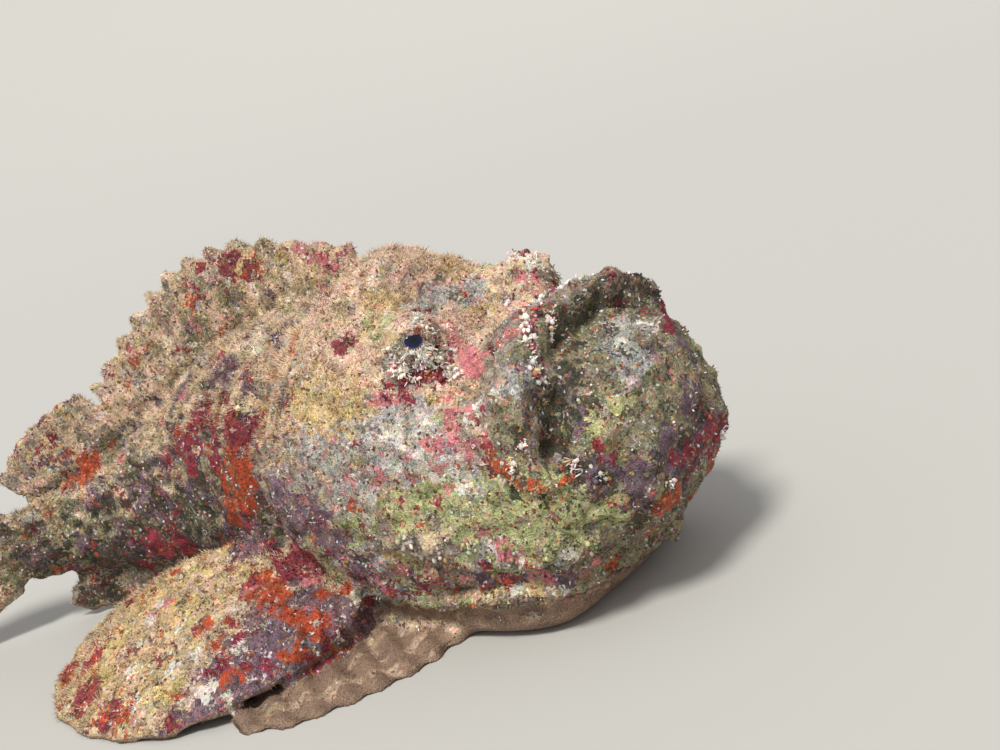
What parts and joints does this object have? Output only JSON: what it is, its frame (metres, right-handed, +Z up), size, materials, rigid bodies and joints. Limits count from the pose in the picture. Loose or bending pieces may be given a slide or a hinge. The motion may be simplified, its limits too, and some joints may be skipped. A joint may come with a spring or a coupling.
{
  "type": "reef stonefish",
  "caption": "Still life-size stonefish resting flat on the floor, tail swung to its right, broad warty head, upturned mouth, skirt-like pectoral fins.",
  "frame": {"origin": "middle of the model's box, on the floor it rests on", "axes": "+Z up, the head points to -Y, +X is the fish's left"},
  "size_m": [0.2346, 0.3076, 0.1283],
  "materials": {
    "head_skin": "rough warty skin, tan, yellow-green and crimson under a film of algae",
    "jaw_skin": "rough warty skin, grey-green with crimson, with pale fringed lips",
    "throat_skin": "smoother folded skin, reddish brown",
    "back_skin": "rough skin with a tan turf of algae, crimson and orange patches",
    "fin_skin": "thick mottled fin skin, tan and cream with red blotches",
    "eye": "wet and glossy, dark blue-violet"
  },
  "bodies": {
    "root": {"head": "head_skin", "upper_jaw": "jaw_skin", "lower_jaw": "jaw_skin", "throat": "throat_skin", "gill_cover_left": "head_skin", "gill_cover_right": "head_skin", "eye_left": "eye", "eye_right": "eye", "trunk": "back_skin", "tail_stalk": "back_skin", "dorsal_fin_spiny": "fin_skin", "dorsal_fin_soft": "fin_skin", "anal_fin": "fin_skin", "tail_fin": "fin_skin", "pectoral_fin_left": "fin_skin", "pectoral_fin_right": "fin_skin", "pelvic_fin_left": "fin_skin", "pelvic_fin_right": "fin_skin"}
  },
  "joints": []
}
